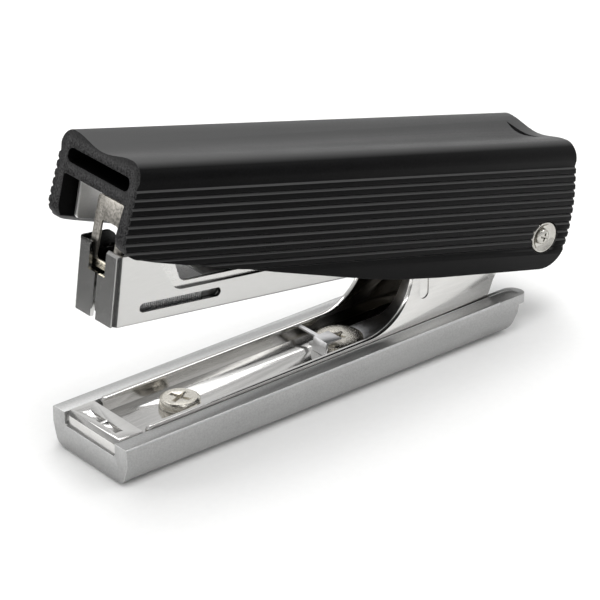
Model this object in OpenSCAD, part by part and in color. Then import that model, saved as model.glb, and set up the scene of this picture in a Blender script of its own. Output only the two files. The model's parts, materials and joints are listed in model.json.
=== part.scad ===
// Desktop stapler for small staples: aluminium base, steel frame, sprung magazine, ribbed lever cover.
// Millimetres. X runs along the stapler with its mouth towards -X, Z is up, Y = 0 is its middle plane.
// The origin is under the middle of the whole stapler, on the surface that it stands on.

/* [Base] */
// Width of the base
base_w = 24; // [22:0.5:26]
// Length of the base along its rails
base_l = 102; // [100:1:104]
// Height of the base's rails
base_h = 8.4; // [8:0.1:8.8]
// Width of the channel between the rails
channel_w = 16.3; // [16.2:0.1:16.6]
// Thickness of the rubber pad that stands proud of the underside
pad_proud = 0.3; // [0.2:0.1:0.4]

/* [Frame] */
// Thickness of the frame's sheet
frame_t = 1.1; // [1:0.1:1.2]
// Outer width of the frame
frame_w = 15.9; // [15.8:0.1:16]

/* [Pivot] */
// Distance of the pivot behind the front of the base
pivot_x = 108.6; // [108:0.1:109.2]
// Height of the pivot above the table
pivot_z = 19.9; // [19.6:0.1:20.2]
// Radius of the pivot sleeve
sleeve_r = 2; // [1.9:0.05:2.1]
// Radial clearance of the sleeve in the parts that turn on it
running = 0.05; // [0.03:0.01:0.08]

/* [Magazine] */
// Nose-up angle of the magazine when the stapler is at rest
magazine_pitch = 7.6; // [7:0.1:8]
// Outer width of the magazine
magazine_w = 13.2; // [13:0.1:13.3]
// Distance of the magazine's nose from the pivot
nose = 107.6; // [107.4:0.1:107.8]
// Thickness of the magazine's sheet
magazine_t = 0.8; // [0.7:0.05:0.8]
// Number of staples left in the strip
staple_count = 41; // [10:1:41]

/* [Handle] */
// Nose-up angle of the handle when the stapler is at rest
handle_pitch = 14.1; // [13.8:0.1:14.4]
// Outer width of the handle cover
cover_w = 24.4; // [24:0.1:24.8]
// Number of ribs on each side of the cover
rib_count = 10; // [6:1:10]
// Spacing of the ribs
rib_pitch = 1.75; // [1.6:0.05:1.75]
// Depth of the grooves between the ribs
rib_depth = 0.42; // [0.2:0.02:0.5]

/* [Hidden] */
$fn = 48;
eps = 0.01;
// The front of the base stands this far in front of the origin
front_x = 58.62;

// ---- derived from the base ----
rail_in = channel_w / 2;
channel_z = 4.7;
sill_z = 5.5;
sill_l = 8.2;
floor_z = channel_z + frame_t;
screw_x = [22.1, 62.9];
screw_r = 2;
head_r = [4, 5];
head_h = [1.15, 0.8];
recess_r = [2.3, 1.7];
washer_t = [0.6, 0.4];
spring_t = 0.5;

// ---- derived from the magazine (its own axes: s along it from the pivot, t square to it) ----
mag_half = magazine_w / 2;
mag_bottom = -2.4;
mag_floor = mag_bottom + magazine_t;
mag_top = 3.15;
ear_top = 12.2;
ear_r = 4.6;
chan_half = mag_half - magazine_t - 0.05;
chan_t = 0.7;
chan_top = 4.4;
chan_floor = mag_floor + chan_t;
chan_end = -30;
rail_half = 4.2;
rail_t = 0.8;
rail_top = 3.7;
rivet_s = -32.4;
rail_front = -105.6;
rail_end = -12;
wire = 0.5;
strip_l = staple_count * wire;
pusher_l = 6;
pusher_s = rail_front + strip_l + 0.05;
rod_r = 0.8;
rod_t = 1.1;
stop_s = -34.5;

// ---- derived from the handle (its own axes: s along it from the pivot, t square to it) ----
cover_half = cover_w / 2;
shoulder_t = 20.15;
shoulder_r = 3.4;
dish_depth = 1.35;
dish_half = cover_half - shoulder_r;
web_t = 11.66;
// Rivets through the cover's web, as [s, y, underside of the stack that they hold]
rivets = [[-99.5, 2.6, 8.5], [-99.5, -2.6, 8.5], [-76, 5, 10.86], [-76, -5, 10.86], [-51, 0, 11.16]];
slot_low = 14;
slot_high = 16.8;
slot_half = 9.5;
cavity_top_half = 9.4;
// Half-length of the pivot sleeve, whose ends carry the ferrules
sleeve_half = cover_half - 1.9;
cavity_half = 8.35;
first_rib = 14.4;
belly_r = 60;
belly_start = 2;
front_s = -112.3;
front_t = 5.5;
front_lean = 3.7;
blade_s = -106.5;
blade_t = 0.5;
blade_half = 4.7;
blade_top = 9;
blade_tip = -4.8;
bracket_half = 8.15;
bracket_t = 0.8;

// ---- shared shapes ----
// Points of an arc about c from angle a to angle b
function arc(c, r, a, b, n = 8) = [for (i = [0:n]) let (q = a + (b - a) * i / n) c + r * [cos(q), sin(q)]];
// A half outline with x >= 0, closed by its mirror image
function mirrored(p) = concat(p, [for (i = [len(p) - 1:-1:0]) [-p[i][0], p[i][1]]]);
// A rounded rectangle, drawn as one outline
function round_rect(a, b, r, n = 6) = concat(
    arc([b[0] - r, b[1] - r], r, 0, 90, n), arc([a[0] + r, b[1] - r], r, 90, 180, n),
    arc([a[0] + r, a[1] + r], r, 180, 270, n), arc([b[0] - r, a[1] + r], r, 270, 360, n));

// A side view (x, z) given the width w about y = y0
module side(w, y0 = 0) {
    translate([0, y0, 0]) rotate([90, 0, 0]) linear_extrude(w, center = true) children();
}
// A cross-section (y, z) run along x from x0 for a length l
module along(x0, l) {
    translate([x0, 0, 0]) rotate([90, 0, 90]) linear_extrude(l) children();
}
// A round bar along y, centred on the pivot's axis
module cross_bar(r, l, y0 = 0) {
    translate([0, y0, 0]) rotate([90, 0, 0]) cylinder(r = r, h = l, center = true);
}
module both_sides() {
    children();
    mirror([0, 1, 0]) children();
}
module in_base() { translate([-front_x, 0, 0]) children(); }
module at_pivot() { in_base() translate([pivot_x, 0, pivot_z]) children(); }
module in_magazine() { at_pivot() rotate([0, magazine_pitch, 0]) children(); }
module in_handle() { at_pivot() rotate([0, handle_pitch, 0]) children(); }
module rivet_bores() {
    for (r = rivets) translate([r[0], r[1], 5]) cylinder(r = 1.1, h = 10);
}

// A cross recess cut down into a head of radius r whose top is at z = 0
module cross_recess(r, depth) {
    intersection() {
        for (q = [0, 90]) rotate([0, 0, q + 20]) cube([2 * r, r * 0.36, 2 * depth], center = true);
        translate([0, 0, -depth]) cylinder(r1 = r * 0.25, r2 = r * 1.3, h = depth * 1.3, $fn = 24);
    }
}

// ---- base ----
base_half = base_w / 2;
rim_h = 0.15;
// Right half of the base's section: tapered side, large lower round, small break at the top edge
base_side = concat([[0, pad_proud]], arc([9, 2.2 + pad_proud], 2.2, -90, -22, 7),
    [[base_half, 4.8], [base_half, base_h - 0.35], [base_half - 0.35, base_h]]);

// Plan of a rail's rounded end, and the same drawn in by a margin
module rail_end_plan(margin = 0) {
    polygon(concat([[base_l - 5.1, base_half - margin], [base_l - 5.1, 7.45 + margin]],
        arc([base_l - 0.7, 10.4], 2.95 - margin, -90, 0, 10),
        arc([base_l + 0.75, 10.5], 1.5 - margin, 0, 90, 5)));
}

module base() color("#a9a9a8") in_base() difference() {
    union() {
        difference() {
            along(0, base_l) polygon(mirrored(base_side));
            // channel for the frame, and the shallower seat of the anvil in front of it
            translate([sill_l, -rail_in, channel_z]) cube([base_l, channel_w, base_h]);
            along(-1, sill_l + 2) polygon(round_rect([-rail_in, sill_z], [rail_in, base_h + 3], 0.8));
            // the rear face leans in towards its foot
            side(base_w + 2) polygon([[base_l + 1, -1], [base_l - 3, -1], [base_l - 3, pad_proud],
                [base_l - 1.5, 1.1], [base_l - 0.8, 2.6], [base_l + 0.05, 6.3], [base_l + 1, 6.3]]);
        }
        // rounded ends of the rails, with a raised rim
        both_sides() {
            translate([0, 0, 6.5]) linear_extrude(base_h + rim_h - 6.5) rail_end_plan();
        }
    }
    for (x = screw_x) translate([x, 0, 1.4]) cylinder(r = screw_r, h = 6);
    // inside of the raised rim on the rail ends
    both_sides() translate([-0.9, 0, base_h]) linear_extrude(1) rail_end_plan(0.9);
    // recess of the foot pad
    translate([6, -7, -1]) cube([base_l - 14, 14, 1.8]);
}

module foot_pad() color("#2b2b2c") in_base() {
    linear_extrude(0.8) polygon(round_rect([6.1, -6.9], [base_l - 8.1, 6.9], 2));
}

// ---- frame ----
frame_half = frame_w / 2;
frame_end = 96.4;
wall_top = 8.9;
boss_r = 6.2;
// Side of the frame: low wall, a quarter-round sweep up to the upright, the pivot boss and the rear flare
frame_side = concat(
    [[sill_l + 0.1, channel_z], [frame_end - 0.6, channel_z], [frame_end, channel_z + 0.6], [frame_end, 8]],
    [[97.3, 9.8], [98.1, 11.9], [99.2, 13.4], [100.9, 14.5], [103.4, 15.2]],
    arc([pivot_x, pivot_z], boss_r, -130, 105, 18),
    arc([80.5, 20.6], 4.5, 100, 180, 6),
    arc([64.5, 20.5], 11.5, -2, -90, 12),
    arc([sill_l + 1.3, wall_top - 1.2], 1.2, 90, 180, 5));

module frame_wall() {
    side(frame_t, frame_half - frame_t / 2) polygon(frame_side);
}

module frame() color("#c9c9c9") in_base() difference() {
    union() {
        translate([sill_l + 0.1, -frame_half + eps, channel_z])
            cube([frame_end - sill_l - 0.4, frame_w - 2 * eps, frame_t]);
        both_sides() frame_wall();
    }
    for (x = screw_x) translate([x, 0, channel_z - 1]) cylinder(r = screw_r + 0.1, h = 4);
    translate([pivot_x, 0, pivot_z]) cross_bar(sleeve_r + running, frame_w + 2);
    // a pressed stiffening groove in each upright
    both_sides() side(0.35, frame_half - 0.15) polygon(round_rect([77.8, 13.8], [80.2, 21.5], 1.19, 8));
}

// ---- anvil ----
anvil_top = 8.6;
anvil_front = 0.4;
anvil_l = 6.6;
module anvil() color("#d2d2d2") in_base() difference() {
    intersection() {
        side(2 * rail_in - 0.3) polygon([[anvil_front, sill_z], [anvil_front + anvil_l, sill_z],
            [anvil_front + anvil_l, anvil_top], [anvil_front + 0.9, anvil_top],
            [anvil_front, anvil_top - 0.7]]);
        // lower corners rounded like the seat's
        along(0, anvil_l + 1)
            polygon(round_rect([-rail_in + 0.1, sill_z], [rail_in - 0.1, base_h + 3], 0.85));
    }
    // two clinching grooves, each an arc that turns a staple's leg inwards
    for (y = [-2.7, 2.7]) translate([3.4, y, anvil_top + 5.6]) rotate([0, 90, 0])
        cylinder(r = 6.2, h = 1.7, center = true);
}

// ---- base screws and washers ----
// Underside of each screw's washer: the rear one stands on the lift spring
washer_z = [floor_z, floor_z + spring_t];
module base_screws() color("#d6d2c6") in_base() for (i = [0, 1])
    translate([screw_x[i], 0, washer_z[i] + washer_t[i]]) difference() {
        rim = head_h[i] - 0.35;
        union() {
            cylinder(r = head_r[i], h = rim);
            translate([0, 0, rim - eps]) cylinder(r1 = head_r[i], r2 = head_r[i] - 0.5, h = 0.35 + eps);
            shank = washer_z[i] + washer_t[i] - 1.5;
            translate([0, 0, -shank]) cylinder(r = screw_r, h = shank + eps);
        }
        translate([0, 0, head_h[i]]) cross_recess(recess_r[i], 1);
    }

module base_washers() color("#cfccc2") in_base() for (i = [0, 1]) translate([screw_x[i], 0, washer_z[i]])
    difference() {
        cylinder(r = head_r[i] + 0.15, h = washer_t[i]);
        translate([0, 0, -1]) cylinder(r = screw_r + 0.1, h = 3);
    }

// ---- lift spring: a leaf under the rear screw that pushes the magazine up ----
lift_w = 7;
tab_top = 8.65;
// The leaf lies on the frame's floor, turns up in one arc, rises at 60 degrees and rolls over in a second arc
lift_r = 7;
lift_start = [75.8, floor_z + spring_t / 2 + lift_r];
lift_end = lift_start + 2 * lift_r * [cos(30), -sin(30)] + 7.3 * [cos(60), sin(60)];
lift_rise = concat(arc(lift_start, lift_r - spring_t / 2, -90, -30, 8),
    arc(lift_end, lift_r + spring_t / 2, 150, 90, 8));
lift_under = concat(arc(lift_end, lift_r - spring_t / 2, 90, 150, 8),
    arc(lift_start, lift_r + spring_t / 2, -30, -90, 8));
module lift_spring() color("#bdbdbd") in_base() {
    difference() {
        union() {
            side(lift_w)
                polygon(concat([[58, floor_z], [58, floor_z + spring_t]], lift_rise, lift_under));
            // folded front end, which stands over the screw's rim
            side(4.2, -0.9) polygon([[58.1, floor_z], [56.7, floor_z], [57.3, tab_top], [61.2, tab_top],
                [61.2, tab_top - spring_t], [57.8, tab_top - spring_t], [57.35, floor_z + spring_t],
                [58.1, floor_z + spring_t]]);
        }
        translate([screw_x[1], 0, floor_z - 1]) cylinder(r = screw_r + 0.1, h = 2);
    }
    // arm that steadies the folded end against the far wall
    translate([57.8, 1, tab_top - spring_t]) cube([0.9, frame_half - frame_t - 1.05, spring_t]);
}

// ---- magazine shell ----
// Side of the shell: tall ears at the nose, a low wall behind them
shell_side = concat([[-nose, mag_bottom], [-nose, ear_top - 0.5], [-nose + 0.5, ear_top]],
    arc([-101, ear_top - 2.2], 2.2, 90, 25, 5),
    [[-96.5, 7.6]], arc([-91.6, mag_top + 3.4], 3.4, 200, 270, 6),
    [[0, mag_top], [0, mag_bottom]]);
// Plan of the shell's skin: a sleeve open at the back, with bent front corners
bend_r = 1.45;
module shell_plan() {
    c = [-nose + bend_r, mag_half - bend_r];
    difference() {
        polygon(concat(arc(c, bend_r, 90, 180, 8), arc([c[0], -c[1]], bend_r, 180, 270, 8),
            [[ear_r + 1, -mag_half], [ear_r + 1, mag_half]]));
        polygon(concat(arc(c, bend_r - magazine_t, 90, 180, 8),
            arc([c[0], -c[1]], bend_r - magazine_t, 180, 270, 8),
            [[ear_r + 2, -mag_half + magazine_t], [ear_r + 2, mag_half - magazine_t]]));
    }
}

module rail_rivet_bores() {
    both_sides() translate([rivet_s, 2.4, -5]) cylinder(r = 0.7, h = 12);
}

module staple_window(low, high, s0, s1, w) {
    side(w) polygon(round_rect([s0, low], [s1, high], (high - low) / 2 - eps, 8));
}

module magazine_shell() color("#c4c4c3") in_magazine() difference() {
    union() {
        intersection() {
            translate([0, 0, -10]) linear_extrude(30) shell_plan();
            side(magazine_w + 2) union() {
                polygon(shell_side);
                circle(r = ear_r);
            }
            // lower bends, rounded in front of the pivot's ears
            union() {
                along(-nose - 1, nose - 11)
                    polygon(round_rect([-mag_half, mag_bottom], [mag_half, ear_top + 3], 0.7));
                translate([-12 - eps, -mag_half - 1, -10]) cube([30, magazine_w + 2, 30]);
            }
        }
        // floor, open under the nose where the staples leave
        translate([-103.6, -mag_half + 0.5, mag_bottom]) cube([88, magazine_w - 1, magazine_t]);
    }
    staple_window(-0.05, 1.85, -101.7, -82, magazine_w + 2);
    rail_rivet_bores();
    // notch and slit between the two front flaps
    translate([-nose - 1, -2.55, 6.8]) cube([2.5, 5.1, 10]);
    translate([-nose - 1, -0.4, -3]) cube([2.5, 0.8, 12]);
    translate([-nose - 1, -0.8, -3]) cube([2.5, 1.6, 2.3]);
    // relief at the foot of each bent corner
    both_sides() translate([-nose + 0.6, mag_half - 0.6, -3]) cylinder(r = 0.5, h = 1);
    cross_bar(sleeve_r + running, magazine_w + 2);
}

// ---- staple channel: the inner sleeve that guides the staples ----
chan_side = concat([[-nose + 1.25, mag_floor], [-nose + 1.25, 9.2]],
    arc([-94.6, 7.8], 1.4, 90, 10, 4), arc([-90.3, chan_top + 2], 2, 195, 270, 6),
    [[chan_end, chan_top], [chan_end, mag_floor]]);
module staple_channel() color("#d4d4d3") in_magazine() difference() {
    side(2 * chan_half) polygon(chan_side);
    translate([-nose - 1, -chan_half + chan_t, chan_floor]) cube([nose, 2 * (chan_half - chan_t), 20]);
    // open nose, where the staples leave
    translate([-nose - 1, -chan_half + chan_t, -5]) cube([5, 2 * (chan_half - chan_t), 20]);
    staple_window(-0.45, 2.25, -102.2, -81.5, 2 * chan_half + 2);
    rail_rivet_bores();
}

// ---- staple rail: the core that the staples straddle ----
module staple_rail() color("#b8b8b8") in_magazine() difference() {
    translate([rail_front, -rail_half, chan_floor])
        cube([rail_end - rail_front, 2 * rail_half, rail_top - chan_floor]);
    translate([rail_front - 1, -rail_half + rail_t, chan_floor - 1])
        cube([nose, 2 * (rail_half - rail_t), rail_top - chan_floor + 1 - rail_t]);
    rail_rivet_bores();
    // slot for the pusher's web
    translate([-99, -1, 0]) cube([stop_s + 98, 2, 10]);
    // the rail's tail stands clear of the pivot spacer and of the shell's floor
    translate([chan_end + 0.3, -rail_half - 1, -5]) cube([nose, 2 * rail_half + 2, 5.9]);
}

// ---- rivets that hold the rail and its stop to the channel and the shell ----
module rail_rivets() color("#a5a5a5") in_magazine() both_sides() translate([rivet_s, 2.4, 0]) {
    translate([0, 0, mag_bottom]) cylinder(r = 0.7, h = rail_top - mag_bottom);
    translate([0, 0, rail_top]) cylinder(r1 = 1.2, r2 = 0.8, h = 0.4);
    translate([0, 0, mag_bottom - 0.4]) cylinder(r1 = 0.8, r2 = 1.2, h = 0.4);
}

// ---- staple strip ----
module staples() color("#8f8f92") in_magazine() difference() {
    translate([rail_front, -rail_half - 0.05 - wire, rail_top - 4.5])
        cube([strip_l, 2 * (rail_half + 0.05 + wire), 5]);
    translate([rail_front - 1, -rail_half - 0.05, rail_top - 6])
        cube([strip_l + 2, 2 * (rail_half + 0.05), 6]);
}

// ---- rail stop: block at the back of the rail that holds the rod and the spring's fixed end ----
module rail_stop() color("#b0b0ae") in_magazine() difference() {
    translate([stop_s, -rail_half + rail_t, chan_floor])
        cube([chan_end - stop_s, 2 * (rail_half - rail_t), rail_top - rail_t - chan_floor]);
    translate([stop_s - 1, 0, rod_t]) rotate([0, 90, 0]) cylinder(r = rod_r, h = 10);
    rail_rivet_bores();
}

module guide_rod() color("#c8c8c8") in_magazine()
    translate([-98, 0, rod_t]) rotate([0, 90, 0]) cylinder(r = rod_r, h = chan_end + 98);

module pusher_spring() color("#b4b4b4") in_magazine() {
    spring_s = pusher_s + pusher_l + 0.05;
    translate([spring_s, 0, rod_t]) rotate([0, 90, 0]) difference() {
        cylinder(r = 1.75, h = stop_s - spring_s);
        translate([0, 0, -1]) cylinder(r = 1.3, h = nose);
    }
}

// ---- spacer tube that keeps the magazine's walls apart at the pivot ----
module pivot_spacer() color("#9d9d9d") at_pivot() difference() {
    cross_bar(3.1, 2 * (mag_half - magazine_t));
    cross_bar(sleeve_r + running, magazine_w + 2);
}

// ---- pusher ----
module pusher() color("#c2c2c2") in_magazine() difference() {
    union() {
        difference() {
            translate([pusher_s, -rail_half - 0.6, -0.7])
                cube([pusher_l, 2 * (rail_half + 0.6), rail_top + 1.4]);
            translate([pusher_s - 1, -rail_half - 0.1, -2])
                cube([pusher_l + 2, 2 * (rail_half + 0.1), rail_top + 2.1]);
        }
        // web through the rail's slot, and the block that slides inside the rail
        translate([pusher_s, -0.8, -0.4]) cube([pusher_l, 1.6, rail_top + 1.1]);
        translate([pusher_s, -2.6, -0.4]) cube([pusher_l, 5.2, rail_top - rail_t + 0.3]);
    }
    translate([pusher_s - 1, 0, rod_t]) rotate([0, 90, 0]) cylinder(r = rod_r + running, h = pusher_l + 2);
}

// ---- handle cover ----
// Half-width of the cover at height t: straight above, drawn in along a large arc below
function cover_y(t) = t >= belly_start ? cover_half
    : cover_half - (belly_r - sqrt(pow(belly_r, 2) - pow(belly_start - t, 2)));
belly_low = -7.8;
cover_outline = mirrored(concat(
    [for (i = [0:6]) let (y = dish_half * i / 6) [y, shoulder_t - dish_depth * (1 + cos(180 * i / 6)) / 2]],
    arc([dish_half, shoulder_t - shoulder_r], shoulder_r, 80, 0, 8),
    [for (k = [0:rib_count - 1], j = [0:3]) let (
        t = first_rib - k * rib_pitch + [0.5, 0.26, -0.26, -0.5][j] * rib_pitch)
        [cover_y(t) - (j == 0 || j == 3 ? rib_depth : 0), t + (j == 0 ? -0.05 : j == 3 ? 0.05 : 0)]],
    [for (i = [0:5]) let (t = -3 + (3 + belly_low) * i / 5) [cover_y(t), t]],
    [[cavity_half + 0.1, belly_low - 0.3], [0, belly_low - 0.3]]));
cavity_outline = mirrored(concat([[0, web_t]],
    arc([cavity_top_half - 0.6, web_t - 0.6], 0.6, 90, 10, 4),
    [[cavity_half, -3], [cavity_half, belly_low - 1]]));
// Side of the cover: leaning front cut, long belly line, rounded heel, curved rear cut
belly_front = [-106.4, 1.15];
belly_mid = [-47.5, -6.3];
belly_back = [-28, -7.35];
heel_r = 5.4;
heel = [1.2, belly_back[1] + heel_r];
cover_side = concat(
    [[front_s + (shoulder_t + 1 - front_t) * tan(front_lean), shoulder_t + 1], [front_s, front_t]],
    arc([front_s + 4, front_t + 0.1], 4, 186, 232, 5), arc([-107.2, 8.4], 7, 242, 262, 3),
    [belly_front, belly_mid, [-38, -7.05], belly_back], arc(heel, heel_r, 270, 358, 8),
    [[6.8, 1.8], [6.6, 6.5], [6, 10.1], [5.1, 13.6], [4.3, 17], [3.7, shoulder_t + 1]]);

// Bevel along the inner lower edge of both walls, between two points of the belly line
module belly_bevel(a, b) {
    d = b - a;
    translate([a[0], 0, a[1]]) rotate([0, -atan2(d[1], d[0]), 0]) both_sides() along(-1, norm(d) + 2)
        polygon([[7.5, -3], [7.5, 2], [cavity_half - 0.1, 1.75], [11.25, -0.02], [11.25, -3]]);
}

module cover_profile() {
    difference() {
        polygon(cover_outline);
        polygon(cavity_outline);
        polygon(round_rect([-slot_half, slot_low], [slot_half, slot_high], 1.2));
    }
}

module handle_cover() color("#1d1d1f") in_handle() difference() {
    intersection() {
        along(-nose - 10, nose + 25) cover_profile();
        side(cover_w + 4) polygon(cover_side);
    }
    belly_bevel([-116, belly_front[1] + 9.6 * 0.1265], belly_mid);
    belly_bevel(belly_back, [9, belly_back[1]]);
    rivet_bores();
    // crescent slit near the heel that opens the hollow
    translate([0.2, 0, slot_low + 1]) linear_extrude(8) intersection() {
        translate([13.6, 0]) circle(r = 15);
        translate([-20.5, 0]) circle(r = 20.7);
    }
    // pivot bores with a counterbore for each ferrule
    cross_bar(sleeve_r, cover_w + 2);
    both_sides() cross_bar(3.6, 2, sleeve_half + 1);
}

// ---- blade bracket: a steel cradle pressed into the cover ----
bracket_side = [[-109.1, web_t], [-108.8, 3.5], [-108.2, 2.95], [-75, -0.9], [-71, 3], [-71, web_t]];
module blade_bracket() color("#c6c6c4") in_handle() difference() {
    side(2 * bracket_half) polygon(bracket_side);
    translate([-nose - 10, -bracket_half + bracket_t, -5])
        cube([nose, 2 * (bracket_half - bracket_t), web_t + 5 - bracket_t]);
    rivet_bores();
}

// ---- driver blade: window plate with a folded top ----
module driver_blade() color("#a8a49b") in_handle() difference() {
    union() {
        along(blade_s, blade_t) difference() {
            polygon(round_rect([-blade_half, blade_tip], [blade_half, blade_top], 0.9));
            polygon(round_rect([-2.5, blade_tip + 1.6], [2.5, 4.5], 0.6));
        }
        along(blade_s, blade_t) translate([-blade_half, blade_tip]) square([2 * blade_half, 1.5]);
        translate([blade_s, -blade_half + 0.9, blade_top - blade_t])
            cube([9.9, 2 * blade_half - 1.8, blade_t]);
    }
    rivet_bores();
}

module blade_spacer() color("#909090") in_handle() difference() {
    translate([-104, -4.6, blade_top]) cube([7.4, 9.2, web_t - bracket_t - blade_top]);
    rivet_bores();
}

module cover_rivets() color("#b9b6ae") in_handle() for (r = rivets) translate([r[0], r[1], 0]) {
    translate([0, 0, r[2]]) cylinder(r = 1.1, h = slot_low - r[2]);
    translate([0, 0, r[2] - 0.6]) cylinder(r1 = 1.3, r2 = 1.9, h = 0.6);
    translate([0, 0, slot_low]) cylinder(r1 = 1.9, r2 = 1.3, h = 0.7);
}

// ---- handle spring: a leaf under the cover's web that bears on the rail's tail ----
handle_leaf_w = 5;
leaf_r = 15;
leaf_drop = arc([-38, web_t - leaf_r], leaf_r, 90, 40, 10);
leaf_tail = leaf_drop[len(leaf_drop) - 1];
module handle_spring() color("#b0b0b0") in_handle() difference() {
    side(handle_leaf_w) polygon(concat([[-56, web_t - spring_t], [-56, web_t]], leaf_drop,
        [leaf_tail + [6.4, -4.35], leaf_tail + [6.1, -4.8]],
        [for (i = [10:-1:0]) leaf_drop[i] - spring_t * [cos(90 - 5 * i), sin(90 - 5 * i)]]));
    rivet_bores();
}

// ---- pivot sleeve, ferrules and screws ----
module pivot_sleeve() color("#c0c0c0") at_pivot() difference() {
    cross_bar(sleeve_r, 2 * sleeve_half);
    both_sides() cross_bar(1.1, 6, sleeve_half - 2);
}

module pivot_ferrules() color("#dededc") at_pivot() both_sides()
    translate([0, sleeve_half, 0]) rotate([-90, 0, 0]) rotate_extrude()
        polygon([[1.2, 0], [3.5, 0], [3.5, 1.35], [3.25, 1.7], [3.05, 1.7], [2.7, 1.38], [2.25, 1.1],
            [1.8, 0.95], [1.2, 0.9]]);

module pivot_screws() color("#d0cec6") at_pivot() both_sides()
    translate([0, sleeve_half, 0]) rotate([-90, 0, 0]) difference() {
        rotate_extrude() polygon([[0, -3], [1.1, -3], [1.1, 1], [1.65, 1], [1.65, 1.25], [1.4, 1.55],
            [0.9, 1.75], [0, 1.82]]);
        translate([0, 0, 1.82]) cross_recess(1.1, 0.6);
    }

base();
foot_pad();
frame();
anvil();
base_screws();
base_washers();
lift_spring();
magazine_shell();
staple_channel();
staple_rail();
rail_rivets();
staples();
rail_stop();
guide_rod();
pusher_spring();
pivot_spacer();
pusher();
handle_cover();
blade_bracket();
driver_blade();
blade_spacer();
cover_rivets();
handle_spring();
pivot_sleeve();
pivot_ferrules();
pivot_screws();
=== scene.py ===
"""A desktop stapler: finishes, fine pieces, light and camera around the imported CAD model."""

import json
import math

import bmesh
import bpy
from mathutils import Matrix, Vector


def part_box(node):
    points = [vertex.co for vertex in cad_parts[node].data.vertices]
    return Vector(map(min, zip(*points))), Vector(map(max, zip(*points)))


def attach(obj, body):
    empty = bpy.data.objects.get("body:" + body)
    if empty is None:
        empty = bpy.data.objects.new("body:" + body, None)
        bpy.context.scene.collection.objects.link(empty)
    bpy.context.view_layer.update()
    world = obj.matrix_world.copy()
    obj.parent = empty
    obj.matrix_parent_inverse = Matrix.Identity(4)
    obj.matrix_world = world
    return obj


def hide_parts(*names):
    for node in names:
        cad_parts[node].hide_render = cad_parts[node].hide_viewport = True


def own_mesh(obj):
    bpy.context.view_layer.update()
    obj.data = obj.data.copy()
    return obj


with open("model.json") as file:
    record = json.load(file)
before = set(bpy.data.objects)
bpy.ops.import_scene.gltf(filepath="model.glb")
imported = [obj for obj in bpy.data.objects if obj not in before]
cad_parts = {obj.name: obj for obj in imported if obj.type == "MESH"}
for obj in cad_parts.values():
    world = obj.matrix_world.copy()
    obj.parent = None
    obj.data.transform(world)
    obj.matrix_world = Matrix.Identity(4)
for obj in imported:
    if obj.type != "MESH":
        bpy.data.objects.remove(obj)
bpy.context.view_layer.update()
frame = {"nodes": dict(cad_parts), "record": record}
nodes = frame["nodes"]
joints = {j["name"]: j for j in frame["record"]["behaviour"]["joints"]}

MM = 0.001
# Edges that turn by more than this are rounded, and stay sharp when shaded
CREASE = math.radians(32)
# Faces of the CAD meshes that turn by less than this are merged
FLAT = math.radians(0.4)
# Points of the CAD meshes that are closer than this are joined, in metres
JOIN = 2e-6

# ---- the magazine's own axes: s runs along it from the pivot, t is square to it ----
PIVOT = Vector(joints["magazine_hinge"]["pos_m"])
ALONG = Vector(joints["pusher_slide"]["axis"]).normalized()
ACROSS = Vector((0, 1, 0))
UP = ALONG.cross(ACROSS)
LENGTHWAYS = Vector((1, 0, 0))

# ---- the handle cover at rest: its heights are square to its top, from the pivot ----
HANDLE_TILT = math.radians(14.1)
HANDLE_UP = Vector((math.sin(HANDLE_TILT), 0, math.cos(HANDLE_TILT)))
# Height that the cover's top lies above
COVER_TOP_MM = 17.3
# Height that the flanks' ribs lie below, and the distance from the middle plane they lie beyond
RIBS_BELOW_MM = 15.7
RIBS_BEYOND_MM = 10.0


def in_magazine(s, y, t):
    """Row-frame point, in metres, of a point in millimetres on the magazine's axes."""
    return PIVOT + (ALONG * s + ACROSS * y + UP * t) * MM


# ---- small helpers for node trees ----
def add(tree, kind, inputs=(), **settings):
    """A node with its settings made, and its sockets linked or set from a dictionary."""
    node = tree.nodes.new(kind)
    for key, value in settings.items():
        setattr(node, key, value)
    for key, value in dict(inputs).items():
        if isinstance(value, bpy.types.NodeSocket):
            tree.links.new(value, node.inputs[key])
        else:
            node.inputs[key].default_value = value
    return node


def noise(tree, scale, detail, rough, stretch=(1, 1, 1)):
    """Noise whose cells are about 1/scale metres, longer along an axis where stretch is below 1."""
    where = add(tree, "ShaderNodeTexCoord").outputs["Object"]
    shift = add(tree, "ShaderNodeMapping", {"Vector": where, "Scale": stretch}).outputs[0]
    inputs = {"Vector": shift, "Scale": scale, "Detail": detail, "Roughness": rough}
    return add(tree, "ShaderNodeTexNoise", inputs).outputs[0]


def spread(tree, value, low, high, to_low=0.0, to_high=1.0):
    """Maps low..high to to_low..to_high, held at both ends."""
    inputs = {0: value, 1: low, 2: high, 3: to_low, 4: to_high}
    return add(tree, "ShaderNodeMapRange", inputs).outputs[0]


def maths(tree, operation, a, b=0.0):
    return add(tree, "ShaderNodeMath", {0: a, 1: b}, operation=operation).outputs[0]


def times(tree, a, b):
    return maths(tree, "MULTIPLY", a, b)


def blend(tree, a, part_a, b, part_b):
    """a and b added in the given parts."""
    return maths(tree, "ADD", times(tree, a, part_a), times(tree, b, part_b))


def mix(tree, amount, a, b):
    """Colour a where amount is 0, b where it is 1."""
    return add(tree, "ShaderNodeMix", {0: amount, 6: a, 7: b}, data_type="RGBA").outputs[2]


def coordinate(tree, kind, number):
    """A coordinate (0, 1 or 2) of the surface's Object point, in metres, or of its Normal."""
    vector = add(tree, "ShaderNodeTexCoord").outputs[kind]
    return add(tree, "ShaderNodeSeparateXYZ", {0: vector}).outputs[number]


def size_of(tree, kind, number):
    """The same coordinate without its sign."""
    return maths(tree, "ABSOLUTE", coordinate(tree, kind, number))


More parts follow.
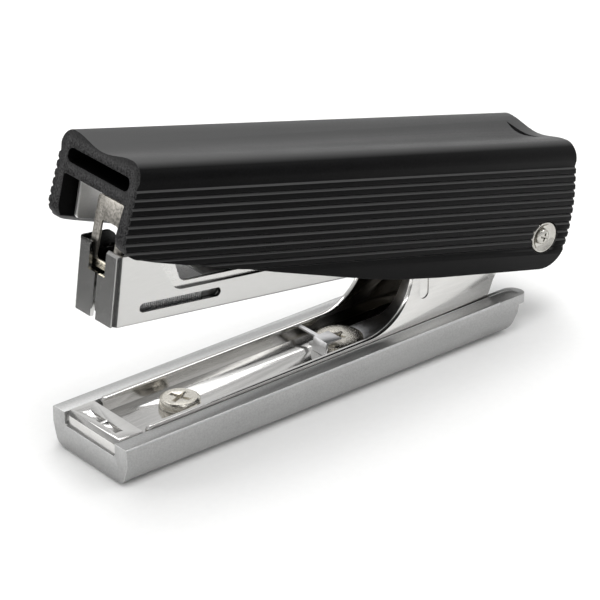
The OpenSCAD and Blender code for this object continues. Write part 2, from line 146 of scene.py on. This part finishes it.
def reach(tree, axis):
    """How far the surface's point is along an axis, in metres from the origin."""
    where = add(tree, "ShaderNodeTexCoord").outputs["Object"]
    dot = add(tree, "ShaderNodeVectorMath", {0: where, 1: axis}, operation="DOT_PRODUCT")
    return dot.outputs["Value"]


def from_pivot(axis, millimetres):
    """The reach, in metres, of a point that is some millimetres from the pivot along an axis."""
    return PIVOT.dot(axis) + millimetres * MM


def edges(tree, radius):
    """1 along the edges of the mesh, 0 on its faces."""
    soft = add(tree, "ShaderNodeBevel", {"Radius": radius}, samples=4).outputs[0]
    plain = add(tree, "ShaderNodeNewGeometry").outputs["Normal"]
    dot = add(tree, "ShaderNodeVectorMath", {0: soft, 1: plain}, operation="DOT_PRODUCT")
    return spread(tree, dot.outputs["Value"], 0.998, 0.93)


def rings(tree, centres, plane, pitch):
    """Turned rings about the nearest of some axes, as heights from -1 to 1. plane is 1 for the
    coordinates across the axes and 0 for the one along them."""
    where = add(tree, "ShaderNodeTexCoord").outputs["Object"]
    flat = add(tree, "ShaderNodeVectorMath", {0: where, 1: plane}, operation="MULTIPLY").outputs[0]
    near = None
    for centre in centres:
        far = add(tree, "ShaderNodeVectorMath", {0: flat, 1: centre}, operation="DISTANCE")
        value = far.outputs["Value"]
        near = value if near is None else maths(tree, "MINIMUM", near, value)
    return maths(tree, "SINE", times(tree, near, 2 * math.pi / pitch))


def rgb(r, g, b):
    return (r, g, b, 1.0)


def grey(tone):
    return rgb(tone, tone, tone)


# ---- finishes ----
def paint_shade_inside(tree, tint, shade_paint, half_mm, axis, clear_mm, dark_mm):
    """Paints shade: a dark colour within half_mm of the middle plane, for the shade inside the
    parts.
    Along an axis from the pivot, it starts at clear_mm and is full from dark_mm on."""
    within = maths(tree, "LESS_THAN", size_of(tree, "Object", 1), half_mm * MM)
    shade_amount = spread(
        tree, reach(tree, axis), from_pivot(axis, clear_mm), from_pivot(axis, dark_mm))
    return mix(tree, times(tree, within, shade_amount), tint, shade_paint)


def paint_shadow_on_edges(tree, tint, shadow_paint, half_mm, axis, behind_mm):
    """Paints a dark shadow gap on the sheet's cut edges and lower bends, which face along or down
    and not across. It does so beyond half_mm from the middle plane and beyond behind_mm along an
    axis."""
    skin = maths(tree, "GREATER_THAN", size_of(tree, "Object", 1), half_mm * MM)
    edge_on = spread(tree, size_of(tree, "Normal", 1), 0.8, 0.5)
    behind = maths(tree, "GREATER_THAN", reach(tree, axis), from_pivot(axis, behind_mm))
    return mix(tree, times(tree, times(tree, skin, edge_on), behind), tint, shadow_paint)


def paint_light_on_cover(tree, tint, top, rib_highlight, sawn):
    """Paints light onto the cover: a painted sheen on its top, painted highlights on the upper
    flanks of its ribs and painted light on its sawn ends."""
    level = reach(tree, HANDLE_UP)
    upward = coordinate(tree, "Normal", 2)
    top_starts = from_pivot(HANDLE_UP, COVER_TOP_MM)
    outer = spread(tree, level, top_starts, top_starts + 0.3 * MM)
    # painted sheen on the cover's upward-facing top
    tint = mix(tree, times(tree, outer, spread(tree, upward, 0.72, 0.98)), tint, top)
    side = maths(tree, "GREATER_THAN", size_of(tree, "Object", 1), RIBS_BEYOND_MM * MM)
    below = maths(tree, "LESS_THAN", level, from_pivot(HANDLE_UP, RIBS_BELOW_MM))
    sloping = times(tree, spread(tree, upward, 0.4, 0.6), spread(tree, upward, 0.9, 0.8))
    # painted highlights on the upper flanks of the ribs
    tint = mix(tree, times(tree, times(tree, side, below), sloping), tint, rib_highlight)
    end_on = spread(tree, size_of(tree, "Normal", 0), 0.85, 0.95)
    # painted light on the sawn ends
    return mix(tree, end_on, tint, sawn)


# Patches of colour and gloss are about 1/CLOUDS metres across
CLOUDS = 95


def finish(name, colour, shade, rough, metallic=1.0, specular=0.5, grain=2600,
           stretch=(1, 1, 1), bump=0.03, depth_mm=0.02, inside=None, cut=None, cover_light_paint=None,
           turned=None, edge_paint=None, tip_highlight=None):
    """A material.

    colour and shade are mixed by its grain, of about 1/grain metres. rough is its least and its
    greatest roughness. bump and depth_mm are the strength and the height of its relief. The rest
    are optional:
    inside, cut and turned: what the painted shade inside, the painted shadow on cut edges and rings
    take
    cover_light_paint: the colours of the painted sheen on the cover's top, of the painted
    highlights on its ribs and of the painted light on its sawn ends
    edge_paint: the colour painted along edges, a painted highlight where it is lighter and
    painted shade where it is darker, and their radius in metres
    tip_highlight: a painted highlight's colour, and the height in millimetres below which it shows
    """
    mat = bpy.data.materials.new(name + "_finish")
    mat.use_nodes = True
    tree = mat.node_tree
    shader = tree.nodes["Principled BSDF"]
    shader.inputs["Metallic"].default_value = metallic
    shader.inputs["Specular IOR Level"].default_value = specular
    fine = noise(tree, grain, 4.0, 0.6, stretch)
    broad = noise(tree, CLOUDS, 3.0, 0.5)
    speck = spread(tree, fine, 0.33, 0.67)
    cloud = spread(tree, broad, 0.3, 0.7)
    tint = mix(tree, blend(tree, speck, 0.75, cloud, 0.25), shade, colour)
    gloss = spread(tree, blend(tree, speck, 0.6, cloud, 0.4), 0.0, 1.0, rough[0], rough[1])
    height = fine
    # painted shade on the insides of the frame, the channel and the shell, which lie under the
    # handle
    if inside:
        tint = paint_shade_inside(tree, tint, *inside)
    # painted shadow along the shell's cut edges and lower bends
    if cut:
        tint = paint_shadow_on_edges(tree, tint, *cut)
    # painted sheen, highlights and light on the handle cover
    if cover_light_paint:
        top, rib_highlight, sawn = cover_light_paint
        tint = paint_light_on_cover(tree, tint, top, rib_highlight, mix(tree, speck, shade, sawn))
    if turned:
        height = maths(tree, "ADD", height, times(tree, rings(tree, *turned), 0.5))
    # paints colour along edges: lighter edges are painted highlights, darker ones painted shade
    if edge_paint:
        edge_colour, radius = edge_paint
        patchy = spread(tree, broad, 0.3, 0.6, 0.45, 1.0)
        tint = mix(tree, times(tree, edges(tree, radius), patchy), tint, edge_colour)
    # painted highlight on the blade's tip, which is also made glossier
    if tip_highlight:
        highlight_colour, below_mm = tip_highlight
        level = coordinate(tree, "Object", 2)
        highlighted = spread(tree, level, (below_mm + 0.2) * MM, (below_mm - 0.2) * MM)
        tint = mix(tree, highlighted, tint, highlight_colour)
        gloss = maths(tree, "SUBTRACT", gloss, times(tree, highlighted, 0.25))
    relief = {"Strength": bump, "Distance": depth_mm * MM, "Height": height}
    bumps = add(tree, "ShaderNodeBump", relief)
    tree.links.new(tint, shader.inputs["Base Color"])
    tree.links.new(gloss, shader.inputs["Roughness"])
    tree.links.new(bumps.outputs[0], shader.inputs["Normal"])
    return mat


# The base screws' axes are a head's radius inside the box of the pair
FRONT_HEAD_MM, REAR_HEAD_MM = 4.0, 5.0
screws_low, screws_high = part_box("base_screws")
SCREW_AXES = [
    (screws_low[0] + FRONT_HEAD_MM * MM, 0, 0), (screws_high[0] - REAR_HEAD_MM * MM, 0, 0)]
SCREW_RINGS = (SCREW_AXES, (1, 1, 0), 0.42 * MM)
PIVOT_RINGS = ([(PIVOT.x, 0, PIVOT.z)], (1, 0, 1), 0.36 * MM)
# Grain of sheet that was drawn along its length
DRAWN = (0.12, 1, 1)

# A look for each of the record's slots, and for the nodes that have one of their own
LOOKS = {
    "satin_aluminium": dict(
        colour=rgb(0.47, 0.47, 0.465), shade=grey(0.345), rough=(0.36, 0.50),
        # painted highlight along the base's edges
        bump=0.5, edge_paint=(rgb(0.82, 0.82, 0.81), 0.12 * MM)),
    "rubber": dict(
        colour=rgb(0.03, 0.03, 0.031), shade=rgb(0.018, 0.018, 0.019), rough=(0.6, 0.8),
        metallic=0.0, bump=0.5, depth_mm=0.03),
    "nickel_sheet": dict(
        colour=rgb(0.70, 0.69, 0.675), shade=rgb(0.62, 0.615, 0.60), rough=(0.10, 0.20),
        grain=1800, stretch=(0.08, 1, 1), bump=0.05, depth_mm=0.006,
        # painted shade: the frame's inside near the pivot is painted a dark brown
        inside=(rgb(0.13, 0.12, 0.105), 6.95, LENGTHWAYS, -42.0, -36.0)),
    "channel": dict(
        colour=rgb(0.66, 0.655, 0.64), shade=rgb(0.61, 0.605, 0.59), rough=(0.20, 0.30),
        # painted shade: the inside of the channel's front is painted near black
        stretch=DRAWN, depth_mm=0.006, inside=(grey(0.03), 5.1, ALONG, -110.0, -109.0)),
    "shell": dict(
        colour=rgb(0.60, 0.597, 0.585), shade=rgb(0.55, 0.547, 0.535), rough=(0.17, 0.27),
        # painted shade: the inside of the shell's front is painted near black
        stretch=DRAWN, depth_mm=0.006, inside=(grey(0.03), 5.83, ALONG, -107.0, -106.7),
        # painted shadow: the shell's cut edges are painted dark grey
        cut=(grey(0.10), 5.83, ALONG, -105.8)),
    "bracket": dict(
        colour=rgb(0.82, 0.815, 0.80), shade=rgb(0.74, 0.735, 0.72), rough=(0.38, 0.50),
        bump=0.1, depth_mm=0.008),
    "nickel_screw": dict(
        colour=rgb(0.80, 0.77, 0.70), shade=rgb(0.70, 0.67, 0.60), rough=(0.20, 0.32),
        grain=5000, bump=0.25, depth_mm=0.01, turned=SCREW_RINGS,
        # painted shade along the screws' edges and recesses
        edge_paint=(rgb(0.30, 0.28, 0.24), 0.14 * MM)),
    "spring_steel": dict(
        colour=grey(0.88), shade=rgb(0.76, 0.76, 0.77), rough=(0.26, 0.38),
        stretch=(0.15, 1, 1), bump=0.1, depth_mm=0.008),
    "satin_nickel": dict(
        colour=rgb(0.66, 0.655, 0.64), shade=rgb(0.57, 0.565, 0.55), rough=(0.20, 0.30),
        stretch=DRAWN, bump=0.12, depth_mm=0.008),
    "zinc_steel": dict(
        colour=rgb(0.60, 0.60, 0.59), shade=grey(0.46), rough=(0.28, 0.42),
        grain=1400, bump=0.2, depth_mm=0.012),
    "staple_wire": dict(
        colour=grey(1.0), shade=grey(0.92), rough=(0.36, 0.5), metallic=0.1,
        stretch=(1, 0.2, 1), bump=0.1, depth_mm=0.008),
    "black_anodised": dict(
        colour=rgb(0.004, 0.004, 0.0042), shade=rgb(0.001, 0.001, 0.0011), rough=(0.32, 0.46),
        metallic=0.0, specular=0.055, bump=0.55,
        # painted light: sheen on the top, highlights on the rib flanks, light on the sawn ends
        cover_light_paint=(grey(0.064), grey(0.065), rgb(0.055, 0.054, 0.055)),
        # painted highlights along the rib edges
        edge_paint=(rgb(0.07, 0.07, 0.071), 0.13 * MM)),
    "blade_steel": dict(
        colour=rgb(0.50, 0.475, 0.435), shade=rgb(0.13, 0.123, 0.11), rough=(0.42, 0.58),
        # painted highlight along the blade's edges
        grain=1900, bump=0.6, edge_paint=(rgb(0.85, 0.80, 0.70), 0.16 * MM),
        # painted highlight: the blade's bottom bar is painted a bright gold
        tip_highlight=(rgb(0.95, 0.88, 0.72), 42.6)),
    "pivot_nickel": dict(
        colour=rgb(0.60, 0.585, 0.545), shade=rgb(0.46, 0.45, 0.42), rough=(0.06, 0.12),
        grain=5000, bump=0.12, depth_mm=0.008, turned=PIVOT_RINGS,
        # painted shade along the edges and rings of the ferrules and pivot screws
        edge_paint=(rgb(0.16, 0.15, 0.13), 0.22 * MM)),
}
FINISHES = {name: finish(name, **look) for name, look in LOOKS.items()}


# ---- softened edges ----
def shade_by_angle():
    """A node group that shades a mesh smooth, except along its creases."""
    group = bpy.data.node_groups.new("shade_by_angle", "GeometryNodeTree")
    for way in ("INPUT", "OUTPUT"):
        group.interface.new_socket("Geometry", in_out=way, socket_type="NodeSocketGeometry")
    start = group.nodes.new("NodeGroupInput")
    end = group.nodes.new("NodeGroupOutput")
    normals = {0: start.outputs[0], "Name": "custom_normal"}
    clear = add(group, "GeometryNodeRemoveAttribute", normals).outputs[0]
    faces = add(group, "GeometryNodeSetShadeSmooth", {0: clear}, domain="FACE").outputs[0]
    angle = add(group, "GeometryNodeInputMeshEdgeAngle").outputs[0]
    small = add(group, "FunctionNodeCompare", {0: angle, 1: CREASE}, operation="LESS_THAN")
    smooth = {0: faces, "Shade Smooth": small.outputs[0]}
    sharp = add(group, "GeometryNodeSetShadeSmooth", smooth, domain="EDGE")
    group.links.new(sharp.outputs[0], end.inputs[0])
    return group


SHADE = shade_by_angle()


def soften(piece, width_mm):
    """Joins a CAD mesh's faces, rounds its creases by a width and shades it by angle."""
    piece.modifiers.new("join", "WELD").merge_threshold = JOIN
    merge = piece.modifiers.new("merge", "DECIMATE")
    merge.decimate_type = "DISSOLVE"
    merge.angle_limit = FLAT
    if width_mm:
        bevel = piece.modifiers.new("round", "BEVEL")
        bevel.width = width_mm * MM
        bevel.segments = 2
        bevel.limit_method = "ANGLE"
        bevel.angle_limit = CREASE
        bevel.use_clamp_overlap = False
    piece.modifiers.new("shade", "NODES").node_group = SHADE


# ---- fine pieces ----
def new_piece(name, mesh, slot, body, *replaced):
    """A mesh that takes the slot's finish, rides on the body and stands for CAD nodes."""
    piece = bpy.data.objects.new(name, mesh)
    bpy.context.scene.collection.objects.link(piece)
    mesh.materials.clear()
    mesh.materials.append(FINISHES[slot])
    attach(piece, body)
    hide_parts(*replaced)
    return piece


def tube(bm, rings_of_points):
    """Skins rings of points into one closed tube with capped ends."""
    rows = [[bm.verts.new(p) for p in ring] for ring in rings_of_points]
    n = len(rows[0])
    for a, b in zip(rows, rows[1:]):
        for k in range(n):
            bm.faces.new((a[k], a[(k + 1) % n], b[(k + 1) % n], b[k]))
    bm.faces.new(rows[0][::-1])
    bm.faces.new(rows[-1])


def to_mesh(bm, name):
    """A smooth-shaded mesh from a bmesh, which is freed."""
    bmesh.ops.recalc_face_normals(bm, faces=bm.faces)
    mesh = bpy.data.meshes.new(name)
    bm.to_mesh(mesh)
    bm.free()
    for face in mesh.polygons:
        face.use_smooth = True
    return mesh


def staple_path(half, foot, top, bend, steps=4):
    """Centre line of one staple in (y, t), as (point, outward direction) pairs."""
    path = [((-half, foot), (-1, 0)), ((-half, top - bend), (-1, 0))]
    for side in (-1, 1):
        for k in range(1, steps):
            a = math.pi / 2 * k / steps
            out = (-math.cos(a), math.sin(a)) if side < 0 else (math.sin(a), math.cos(a))
            corner = (side * (half - bend) + bend * out[0], top - bend + bend * out[1])
            path.append((corner, out))
        if side < 0:
            path += [((-half + bend, top), (0, 1)), ((half - bend, top), (0, 1))]
    return path + [((half, top - bend), (1, 0)), ((half, foot), (1, 0))]


def staple_strip():
    """The strip as separate wires, each a little flattened, with its ends cut to a chisel."""
    pitch, count, front = 0.5, 41, -105.6
    path = staple_path(half=4.5, foot=-0.8, top=3.95, bend=0.42)
    half_s, half_n, corner, chisel = 0.17, 0.24, 0.07, 0.32
    flat_s, flat_n = half_s - corner, half_n - corner
    section = [(half_s, flat_n), (flat_s, half_n), (-flat_s, half_n), (-half_s, flat_n),
               (-half_s, -flat_n), (-flat_s, -half_n), (flat_s, -half_n), (half_s, -flat_n)]
    bm = bmesh.new()
    for i in range(count):
        middle = front + pitch * (i + 0.5)
        rows = []
        for k, ((y, t), (out_y, out_t)) in enumerate(path):
            slant = chisel if k in (0, len(path) - 1) else 0.0
            rows.append([
                in_magazine(middle + s, y + out_y * n, t + out_t * n + slant * (half_n - n))
                for s, n in section])
        tube(bm, rows)
    new_piece("staple_strip", to_mesh(bm, "staple_strip"), "staple_wire", "magazine", "staples")


def pusher_coil():
    """The pusher's compression spring as a coil, with closed end turns."""
    start, end, axis_t = -78.92, -34.58, 1.1
    radius, wire_r, turns, steps, sides = 1.52, 0.2, 33, 20, 8
    closed, closed_pitch = 1.5, 2.1 * wire_r
    closed_l = closed * closed_pitch
    open_l = end - start - 2 * wire_r - 2 * closed_l
    rows = []
    for k in range(turns * steps + 1):
        turn = k / steps
        if turn < closed:
            s = turn * closed_pitch
        elif turn > turns - closed:
            s = closed_l + open_l + (turn - turns + closed) * closed_pitch
        else:
            s = closed_l + open_l * (turn - closed) / (turns - 2 * closed)
        y, t = math.cos(2 * math.pi * turn), math.sin(2 * math.pi * turn)
        row = []
        for j in range(sides):
            around = 2 * math.pi * j / sides
            r = radius + wire_r * math.sin(around)
            row.append(in_magazine(
                start + wire_r + s + wire_r * math.cos(around), r * y, axis_t + r * t))
        rows.append(row)
    bm = bmesh.new()
    tube(bm, rows)
    mesh = to_mesh(bm, "pusher_coil")
    coil = new_piece("pusher_coil", mesh, "spring_steel", "magazine", "pusher_spring")
    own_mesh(coil)


def part_of_lift_spring(name, cut_x, front):
    """The CAD's lift spring in front of a cut across it, or else behind it, as a closed piece."""
    bm = bmesh.new()
    bm.from_mesh(nodes["lift_spring"].data)
    bmesh.ops.remove_doubles(bm, verts=bm.verts, dist=JOIN)
    bmesh.ops.dissolve_limit(bm, angle_limit=FLAT, verts=bm.verts, edges=bm.edges)
    result = bmesh.ops.bisect_plane(
        bm, geom=list(bm.verts) + list(bm.edges) + list(bm.faces), dist=1e-7,
        plane_co=(cut_x, 0, 0), plane_no=(1, 0, 0), clear_outer=front, clear_inner=not front)
    rim = [g for g in result["geom_cut"] if isinstance(g, bmesh.types.BMEdge)]
    bmesh.ops.edgeloop_fill(bm, edges=rim)
    sharp = [e for e in bm.edges if e.is_manifold and e.calc_face_angle() > CREASE]
    bmesh.ops.bevel(
        bm, geom=sharp, offset=0.1 * MM, segments=2, profile=0.5, affect="EDGES",
        clamp_overlap=False)
    mesh = to_mesh(bm, name)
    piece = new_piece(name, mesh, "spring_steel", "base_assembly", "lift_spring")
    piece.modifiers.new("shade", "NODES").node_group = SHADE
    return piece


def lift_spring_pieces():
    """The lift spring in two: the folded front under the screw, and the leaf, which flattens."""
    fold_mm = 4.67
    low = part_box("lift_spring")[0]
    cut_x = low[0] + fold_mm * MM
    part_of_lift_spring("lift_spring_fold", cut_x, front=True)
    leaf = part_of_lift_spring("lift_spring_leaf", cut_x, front=False)
    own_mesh(leaf)


staple_strip()
pusher_coil()
lift_spring_pieces()

# ---- finishes and edges of the CAD nodes ----
# Width in millimetres that each node's edges are rounded by. 0 leaves them as they are
ROUNDING = {
    "base": 0.08, "frame": 0.08, "anvil": 0.1, "magazine_shell": 0.0, "staple_channel": 0.08,
    "handle_cover": 0.1, "blade_bracket": 0.12, "driver_blade": 0.06, "foot_pad": 0.15,
    "staple_rail": 0.1, "pusher": 0.08, "rail_stop": 0.1, "base_screws": 0.06,
    "base_washers": 0.06, "pivot_ferrules": 0.06, "pivot_screws": 0.04, "handle_spring": 0.08,
    "blade_spacer": 0.08, "pivot_sleeve": 0.06, "pivot_spacer": 0.06, "guide_rod": 0.06,
    "cover_rivets": 0.0, "rail_rivets": 0.0,
}
# Nodes with a finish of their own within their slot
SPECIAL = {
    "pivot_ferrules": "pivot_nickel", "pivot_screws": "pivot_nickel",
    "staple_channel": "channel", "magazine_shell": "shell", "blade_bracket": "bracket",
}
for name, width_mm in ROUNDING.items():
    for holder in nodes[name].material_slots:
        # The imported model's materials carry the names of the record's slots
        slot = holder.material.name
        holder.material = FINISHES[SPECIAL.get(name, slot)]
    soften(nodes[name], width_mm)

# ---- floor ----
floor_mesh = bpy.data.meshes.new("floor")
floor_bm = bmesh.new()
bmesh.ops.create_circle(floor_bm, cap_ends=True, radius=4.0, segments=64)
floor_bm.to_mesh(floor_mesh)
floor_bm.free()
floor = bpy.data.objects.new("floor", floor_mesh)
bpy.context.scene.collection.objects.link(floor)
floor_mesh.materials.append(finish(
    "floor", colour=rgb(0.87, 0.87, 0.865), shade=rgb(0.85, 0.85, 0.845), rough=(0.55, 0.7),
    metallic=0.0, specular=0.2, grain=600, bump=0.05, depth_mm=0.05))


# ---- light ----
def stand(thing, where, target):
    """Puts a light or a card at a point, turned to face the target."""
    thing.location = where
    facing = (Vector(target) - Vector(where)).to_track_quat("-Z", "Y")
    thing.rotation_euler = facing.to_euler()
    bpy.context.scene.collection.objects.link(thing)


def softbox(name, where, size, power):
    """A rectangular area light that faces the middle of the stapler."""
    middle = (0.0, 0.0, 0.03)
    data = bpy.data.lights.new(name, "AREA")
    data.shape = "RECTANGLE"
    data.size, data.size_y = size
    data.energy = power
    stand(bpy.data.objects.new(name, data), where, middle)


softbox("top", (0.05, -0.02, 0.8), (0.7, 0.28), 4.6)
softbox("back", (0.22, 0.46, 0.68), (0.8, 0.25), 1.5)
softbox("rim", (0.42, -0.32, 0.52), (0.5, 0.2), 0.8)
softbox("left", (-0.56, 0.5, 0.16), (0.4, 0.28), 2.0)


def card(name, where, size, tone):
    """A grey card in front of the magazine's nose, which only reflections see."""
    nose = in_magazine(-107, -6, 4)
    mesh = bpy.data.meshes.new(name)
    bm = bmesh.new()
    bmesh.ops.create_grid(bm, x_segments=1, y_segments=1, size=0.5)
    bmesh.ops.scale(bm, vec=(size[0], size[1], 1), verts=bm.verts)
    bm.to_mesh(mesh)
    bm.free()
    glow = bpy.data.materials.new(name)
    glow.use_nodes = True
    inputs = glow.node_tree.nodes["Principled BSDF"].inputs
    inputs["Base Color"].default_value = grey(0)
    inputs["Emission Color"].default_value = grey(1)
    inputs["Emission Strength"].default_value = tone
    mesh.materials.append(glow)
    piece = bpy.data.objects.new(name, mesh)
    stand(piece, where, nose)
    piece.visible_camera = piece.visible_diffuse = piece.visible_shadow = False


card("card_nose", (-0.102, -0.046, 0.018), (0.10, 0.07), 0.02)
card("card_left", (-0.112, 0.058, 0.015), (0.14, 0.09), 0.12)

# The sky is light near the horizon and darker overhead
world = bpy.data.worlds.new("studio")
world.use_nodes = True
bpy.context.scene.world = world
sky = world.node_tree
direction = add(sky, "ShaderNodeTexCoord").outputs["Generated"]
height = add(sky, "ShaderNodeSeparateXYZ", {0: direction}).outputs[2]
shade_of_sky = spread(sky, height, 0.3, 0.9, 0.85, 0.28)
background = sky.nodes["Background"]
sky.links.new(mix(sky, shade_of_sky, grey(0), grey(1)), background.inputs["Color"])
background.inputs["Strength"].default_value = 1.0

# ---- camera, as the photo was taken ----
AZIMUTH, ELEVATION = math.radians(-39.587), math.radians(27.151)
# Distance in metres from the point that it aims at
DISTANCE = 0.633732
# That point is this far right and up, in the picture, of the middle of the base's front foot
AIM_RIGHT_MM, AIM_UP_MM = 40.6406, 32.0995
BASE_FRONT_MM = 58.62

camera_data = bpy.data.cameras.new("camera")
camera_data.lens = 196.15
camera_data.sensor_width = 36.0
camera_data.clip_start = 0.01
camera = bpy.data.objects.new("camera", camera_data)
bpy.context.scene.collection.objects.link(camera)
bpy.context.scene.camera = camera
right = Vector((math.cos(AZIMUTH), math.sin(AZIMUTH), 0))
back = Vector((
    math.sin(AZIMUTH) * math.cos(ELEVATION), -math.cos(AZIMUTH) * math.cos(ELEVATION),
    math.sin(ELEVATION)))
up = back.cross(right)
turn = Matrix((right, up, back)).transposed().to_4x4()
aim = right * AIM_RIGHT_MM * MM + up * AIM_UP_MM * MM - Vector((BASE_FRONT_MM * MM, 0, 0))
camera.matrix_world = Matrix.Translation(aim + back * DISTANCE) @ turn

bpy.context.scene.view_settings.view_transform = "Standard"
